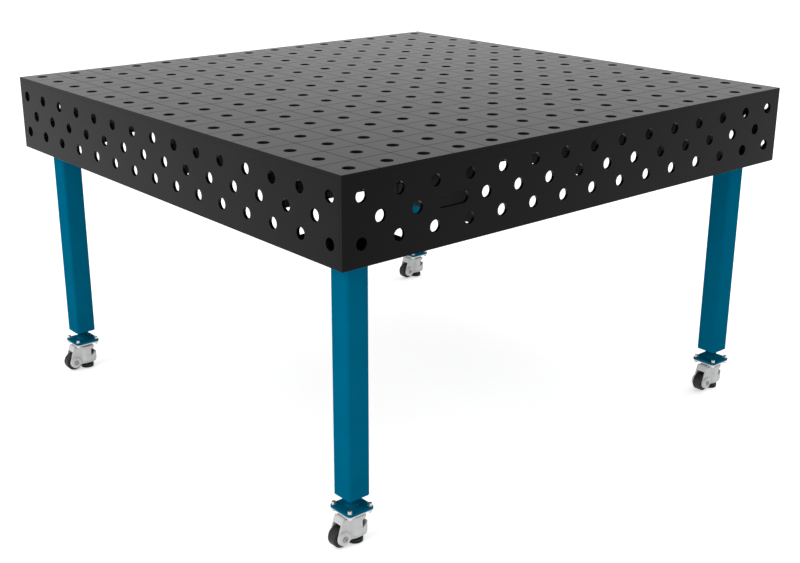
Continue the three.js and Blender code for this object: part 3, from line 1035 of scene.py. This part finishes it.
def fused(name, first, steps, voxel, softening):
    """Joins and cuts solids, then rounds every edge the way a casting's edges are."""
    for index, (operation, tool) in enumerate(steps):
        cut = first.modifiers.new("step_%d" % index, "BOOLEAN")
        cut.operation = operation
        cut.object = tool
        cut.solver = "EXACT"
    voxels = first.modifiers.new("voxels", "REMESH")
    voxels.mode = "VOXEL"
    voxels.voxel_size = voxel
    soften = first.modifiers.new("soften", "SMOOTH")
    soften.factor = 0.5
    soften.iterations = softening
    graph = bpy.context.evaluated_depsgraph_get()
    graph.update()
    mesh = bpy.data.meshes.new_from_object(first.evaluated_get(graph))
    mesh.name = name
    for tool in [first] + [tool for _, tool in steps]:
        used = tool.data
        bpy.data.objects.remove(tool)
        bpy.data.meshes.remove(used)
    mesh.polygons.foreach_set("use_smooth", [True] * len(mesh.polygons))
    mesh.update()
    return mesh


def arc(cx, cy, radius, start, end, steps=12):
    """Points on an arc, with angles in degrees."""
    angles = [math.radians(start + (end - start) * i / steps) for i in range(steps + 1)]
    return [(cx + radius * math.cos(a), cy + radius * math.sin(a)) for a in angles]


def housing_plan(inset=0.0):
    """The casting seen from above: narrow arms, a hollow curve out, and round rear corners."""
    steps = 8
    half = REAR_HALF - inset
    corner = REAR_CORNER - inset
    widening = half - FORK_HALF
    side = [(-60 * MM, -FORK_HALF)]
    for i in range(steps + 1):
        swing = 0.5 - 0.5 * math.cos(math.pi * i / steps)
        x = WAIST_FROM + (WAIST_TO - WAIST_FROM) * i / steps
        side.append((x, -FORK_HALF - widening * swing))
    side += arc(BODY_REAR - inset - corner, corner - half, corner, -90, 0)
    return side + [(x, -y) for x, y in reversed(side)]


def housing_outline(top, thumb_low, thumb_high):
    """The casting seen from its side, from the fork's front down, round the boss and back up."""
    under = BODY_UNDERSIDE
    rear = BODY_REAR
    lip = thumb_low + 4 * MM
    bevel = 3 * MM
    outline = [(FORK_TOP_AT + bevel, top), (FORK_TOP_AT, top - bevel), (FORK_KNEE_AT, AXLE_Z + 6 * MM)]
    outline += arc(WHEEL_AT, AXLE_Z, AXLE_BOSS, 160, 312, 20)
    outline += [(-10 * MM, under), (rear - 6 * MM, under), (rear, under + 6 * MM), (rear, lip - 4 * MM)]
    outline += [(rear - 4 * MM, lip), (rear - 8 * MM, lip), (WINDOW_AT, thumb_low - 7 * MM)]
    outline += [(WINDOW_AT, thumb_high + 3 * MM), (BACK_TOP_AT, thumb_high + 8 * MM), (BACK_TOP_AT, top)]
    return outline


def shoulder_ledge(top, side):
    """What is cut away beside the neck under the swivel plate; side is -1 or 1."""
    shoulder = top - SHOULDER_DEPTH
    beyond = REAR_HALF + MM
    ledge = [(NECK_HALF, shoulder + MM), (beyond, shoulder - MM), (beyond, top + MM), (NECK_HALF, top + MM)]
    return section_prism([(side * y, z) for y, z in ledge], -34 * MM, 50 * MM)


def wheel_window():
    """The gap between the fork's arms, seen from the side."""
    ahead = -70 * MM
    below = -5 * MM
    behind = WHEEL_AT + WHEEL_RADIUS + 2 * MM
    above = AXLE_Z + WHEEL_RADIUS + 8 * MM
    return [(ahead, below), (behind, below), (behind, above), (ahead, above)]


def housing_mesh():
    """The caster's casting: a fork round the wheel, a broad rear and a cup over the foot."""
    top = local_box("caster_body_front")[1].z
    thumb_low = local_box("thumb_wheel_front")[0].z
    thumb_high = local_box("thumb_wheel_front")[1].z
    pocket = circle(FOOT_AT, 0, THUMB_RADIUS + MM, 48)
    bore = circle(FOOT_AT, 0, SCREW_RADIUS + 0.5 * MM, 24)
    boss = circle(WHEEL_AT, AXLE_Z, AXLE_BOSS, 48)
    boss_face = circle(WHEEL_AT, AXLE_Z, AXLE_BOSS - 2.5 * MM, 48)
    axle_hole = circle(WHEEL_AT, AXLE_Z, AXLE_RADIUS + 0.5 * MM, 24)
    pin_hole = circle(0, 0, KING_PIN_RADIUS + 0.5 * MM, 24)
    rim = BODY_UNDERSIDE + RIM_HEIGHT

    whole = side_prism(housing_outline(top, thumb_low, thumb_high), REAR_HALF)
    steps = [
        ("INTERSECT", plan_prism(housing_plan(), 0, top + MM)),
        ("DIFFERENCE", shoulder_ledge(top, 1)),
        ("DIFFERENCE", shoulder_ledge(top, -1)),
        ("UNION", side_prism(boss, BOSS_HALF - 1.5 * MM)),
        ("UNION", side_prism(boss_face, BOSS_HALF)),
        ("DIFFERENCE", side_prism(wheel_window(), WHEEL_HALF + MM)),
        ("DIFFERENCE", side_prism(axle_hole, PAST)),
        ("DIFFERENCE", plan_prism(pocket, thumb_low - 5 * MM, thumb_high + MM)),
        ("DIFFERENCE", plan_prism(bore, 0, thumb_high + 9 * MM)),
        ("DIFFERENCE", outside_cut(housing_plan(RIM_STEP), 0, rim)),
        ("DIFFERENCE", outside_cut(housing_plan(2 * RIM_STEP), rim - RIM_GROOVE, rim)),
        ("DIFFERENCE", plan_prism(pin_hole, top - KING_PIN_LENGTH - MM, top + 2 * MM)),
    ]
    return fused("housing", whole, steps, CASTING_VOXEL, CASTING_SOFTENING)


def outside_cut(inner, z0, z1):
    """A ring-shaped tool that trims what stands outside a plan, behind the fork only."""
    behind = -16 * MM
    reach = 60 * MM
    kept = [(x, y) for x, y in inner if x > behind]
    loop = [(behind, -reach), (reach, -reach), (reach, reach), (behind, reach)]
    loop += [(behind, kept[-1][1])] + kept[::-1] + [(behind, kept[0][1])]
    return plan_prism(loop, z0, z1)


# ------------------------------------------------------------------ wheel, axle, thumb wheel, foot


def lying(mesh):
    """Lays a turned piece's axis along Y, at the axle."""
    mesh.transform(Matrix.Translation((WHEEL_AT, 0, AXLE_Z)) @ Matrix.Rotation(math.pi / 2, 4, "X"))
    return mesh


def wheel_mesh():
    """A nylon wheel with two fine grooves round its tread and dished sides."""
    r, w = WHEEL_RADIUS, WHEEL_HALF
    bore = AXLE_RADIUS + 0.3 * MM
    edge = 2.5 * MM
    profile = [(bore, -w + 0.5 * MM), (8 * MM, -w), (9 * MM, -w + 1.5 * MM), (r - 7 * MM, -w + 1.5 * MM)]
    profile += [(r - 6 * MM, -w)]
    profile += [(r - edge + dx, -w + edge + dz) for dx, dz in arc(0, 0, edge, -90, 0, 6)]
    for groove in (-4 * MM, 4 * MM):
        profile += [(r, groove - 0.6 * MM), (r - 0.6 * MM, groove), (r, groove + 0.6 * MM)]
    profile += [(r - edge + dx, w - edge + dz) for dx, dz in arc(0, 0, edge, 0, 90, 6)]
    profile += [(r - 6 * MM, w), (r - 7 * MM, w - 1.5 * MM), (9 * MM, w - 1.5 * MM), (8 * MM, w)]
    profile += [(bore, w - 0.5 * MM), (bore, -w + 0.5 * MM)]
    return lying(turned_mesh("roller", profile, 72))


def axle_mesh():
    """A plain pin with a chamfered head and a round socket at each end."""
    inner = BOSS_HALF + 0.3 * MM
    end = inner + 1.5 * MM
    edge = 0.5 * MM
    socket = 3 * MM
    floor_at = end - 1.2 * MM
    profile = [(0, -floor_at), (socket, -floor_at), (socket, -end), (AXLE_HEAD - edge, -end)]
    profile += [(AXLE_HEAD, -end + edge), (AXLE_HEAD, -inner), (AXLE_RADIUS, -inner), (AXLE_RADIUS, inner)]
    profile += [(AXLE_HEAD, inner), (AXLE_HEAD, end - edge), (AXLE_HEAD - edge, end), (socket, end)]
    profile += [(socket, floor_at), (0, floor_at)]
    return lying(turned_mesh("axle_pin", profile, 36))


def thumb_wheel_mesh():
    """The ribbed ring that turns on the foot's screw, with a coloured hub on top."""
    low, high = local_box("thumb_wheel_front")
    ribs = 30
    per_rib = 6
    count = ribs * per_rib
    bore = SCREW_RADIUS + 0.3 * MM
    ring_top = high.z - 1.5 * MM

    def ribbed(inset):
        loop = []
        for i in range(count):
            angle = 2 * math.pi * i / count
            wave = 0.5 - 0.5 * math.cos(angle * ribs)
            radius = THUMB_RADIUS - inset - 1.4 * MM * wave
            loop.append((FOOT_AT + radius * math.cos(angle), radius * math.sin(angle)))
        return loop

    def plain(radius):
        return circle(FOOT_AT, 0, radius, count)

    build = Build()
    hub = 14 * MM
    stack = [(plain(bore), low.z), (ribbed(1.2 * MM), low.z), (ribbed(0), low.z + 1.2 * MM)]
    stack += [(ribbed(0), ring_top - 1.2 * MM), (ribbed(1.2 * MM), ring_top), (plain(hub), ring_top)]
    rings = [build.ring(loop, z) for loop, z in stack]
    build.skin(rings)
    crown = [(plain(hub), ring_top), (plain(hub - 0.4 * MM), high.z)]
    crown += [(plain(bore), high.z), (plain(bore), low.z)]
    rings = [build.ring(loop, z) for loop, z in crown]
    build.skin(rings, 1)
    return build.mesh("adjuster", 30)


def pad_mesh():
    """The foot: a rubber pad with a groove round its edge and a collar for the screw."""
    low = local_box("foot_front")[0]
    top = low.z + FOOT_THICKNESS
    edge = 1.5 * MM
    groove = low.z + FOOT_THICKNESS / 2
    r = FOOT_RADIUS
    profile = [(0, low.z), (r - 4 * MM, low.z), (r - edge, low.z + 0.6 * MM), (r - 0.5 * MM, low.z + edge)]
    profile += [(r, groove - MM), (r - 1.2 * MM, groove - 0.5 * MM), (r - 1.2 * MM, groove + 0.5 * MM)]
    profile += [(r, groove + MM), (r, top - edge), (r - edge, top), (SCREW_RADIUS + 3 * MM, top)]
    profile += [(SCREW_RADIUS, top + MM), (0, top + MM)]
    return turned_mesh("pad", profile, 64, (FOOT_AT, 0))


def screw_mesh():
    """The foot's screw."""
    low, high = local_box("foot_front")
    profile = threads(SCREW_RADIUS, low.z + FOOT_THICKNESS + 0.5 * MM, high.z, 1.75 * MM)
    return turned_mesh("foot_screw", profile, 32, (FOOT_AT, 0))


# ------------------------------------------------------------------ corners


def dress(prefix, material):
    """Finishes the CAD nodes that are shown as they are."""
    for node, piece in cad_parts.items():
        if node.startswith(prefix):
            piece.data.materials.clear()
            piece.data.materials.append(material)


# name, drawing, materials, body it rides on, material slot, CAD node it stands for
CORNER_PIECES = (
    ("leg_post", leg_mesh, [TEAL], "table", "teal_paint", "leg"),
    ("leg_weld", weld_bead_mesh, [TEAL], "table", "teal_paint", None),
    ("flange_bolts", flange_bolts_mesh, [ZINC], "table", "zinc", None),
    # the lock nut takes the teal darkened as painted shade
    ("jam_nut", lock_nut_mesh, [SHADED_TEAL], "table", "teal_paint", "lock_nut"),
    ("adapter", adapter_mesh, [TEAL], "spindle", "teal_paint", "spindle_adapter"),
    ("cap_screws", bolts_mesh, [ZINC], "spindle", "zinc", None),
    ("screw_nuts", nuts_mesh, [ZINC], "spindle", "zinc", None),
    ("swivel_plate", caster_plate_mesh, [ZINC], "spindle", "zinc", "caster_plate"),
    ("housing", housing_mesh, [CAST], "caster", "cast_housing", "caster_body"),
    ("axle_pin", axle_mesh, [AXLE_STEEL], "caster", "zinc", "wheel_axle"),
    ("roller", wheel_mesh, [TREAD], "wheel", "tread", "wheel"),
    ("adjuster", thumb_wheel_mesh, [TREAD, RED], "thumb_wheel", "thumb_wheel", "thumb_wheel"),
    ("pad", pad_mesh, [PAD], "foot", "foot_rubber", "foot"),
    ("foot_screw", screw_mesh, [ZINC], "foot", "zinc", None),
)


def corner_assembly():
    """Each piece of a corner, drawn once and shown at all four corners."""
    for corner in CORNERS:
        mounting_plate(corner)
    for name, draw, materials, carrier, slot, node in CORNER_PIECES:
        mesh = draw()
        for corner in CORNERS:
            ending = "_" + corner
            at = Vector((CORNER_AT[corner].x, CORNER_AT[corner].y, 0))
            body = carrier if carrier == "table" else carrier + ending
            stands_for = [node + ending] if node else []
            place(name + ending, mesh, materials, body, at, stands_for)


# ------------------------------------------------------------------ stage, light, camera


def floor():
    """A wide pale floor, a hair below the feet."""
    build = Build()
    reach = 80.0
    loop = [(-reach, -reach), (reach, -reach), (reach, reach), (-reach, reach)]
    build.face(build.ring(loop, cad_low.z - 0.1 * MM))
    ground = bpy.data.objects.new("floor", build.mesh("floor"))
    ground.data.materials.append(pale_floor())
    bpy.context.scene.collection.objects.link(ground)


def area_light(name, place_at, target, size, power):
    data = bpy.data.lights.new(name, "AREA")
    data.shape = "RECTANGLE"
    data.size, data.size_y = size
    data.energy = power
    light = bpy.data.objects.new(name, data)
    light.location = place_at
    aim = Vector(target) - Vector(place_at)
    light.rotation_mode = "QUATERNION"
    light.rotation_quaternion = aim.to_track_quat("-Z", "Y")
    bpy.context.scene.collection.objects.link(light)


def lighting():
    """An even white surround, with a soft light to the left and a weaker one to the right."""
    world = bpy.data.worlds.new("studio")
    bpy.context.scene.world = world
    world.use_nodes = True
    background = world.node_tree.nodes["Background"]
    background.inputs["Color"].default_value = (1, 1, 1, 1)
    background.inputs["Strength"].default_value = 0.8
    middle = (0, 0, 0.5)
    area_light("key", (-5.0, 0.0, 2.5), middle, (4, 3), 110)
    area_light("fill", (5.0, -1.0, 2.5), middle, (4, 3), 60)
    bpy.context.scene.view_settings.view_transform = "Standard"


def camera():
    """The photograph's viewpoint: its height, direction and focal length."""
    data = bpy.data.cameras.new("camera")
    data.sensor_width = 36
    data.lens = 54.65
    data.shift_x = 0.0158
    data.shift_y = -0.0075
    data.clip_end = 200
    view = bpy.data.objects.new("camera", data)
    right = Vector((0.76629, -0.64249, 0))
    forward = Vector((0.60777, 0.72495, -0.32414)).normalized()
    right = (right - forward * right.dot(forward)).normalized()
    up = right.cross(forward)
    view.matrix_world = Matrix((
        (right.x, up.x, -forward.x, -2.1586),
        (right.y, up.y, -forward.y, -2.5603),
        (right.z, up.z, -forward.z, TOP + 0.5826),
        (0, 0, 0, 1),
    ))
    bpy.context.scene.collection.objects.link(view)
    bpy.context.scene.camera = view


work_plate()
side_walls()
dress("cross_rib_", INNER_STEEL)
dress("long_rib_", INNER_STEEL)
rib_welds()
corner_assembly()
# the leg inserts take the teal darkened as painted shade
dress("leg_insert_", SHADED_TEAL)
floor()
lighting()
camera()
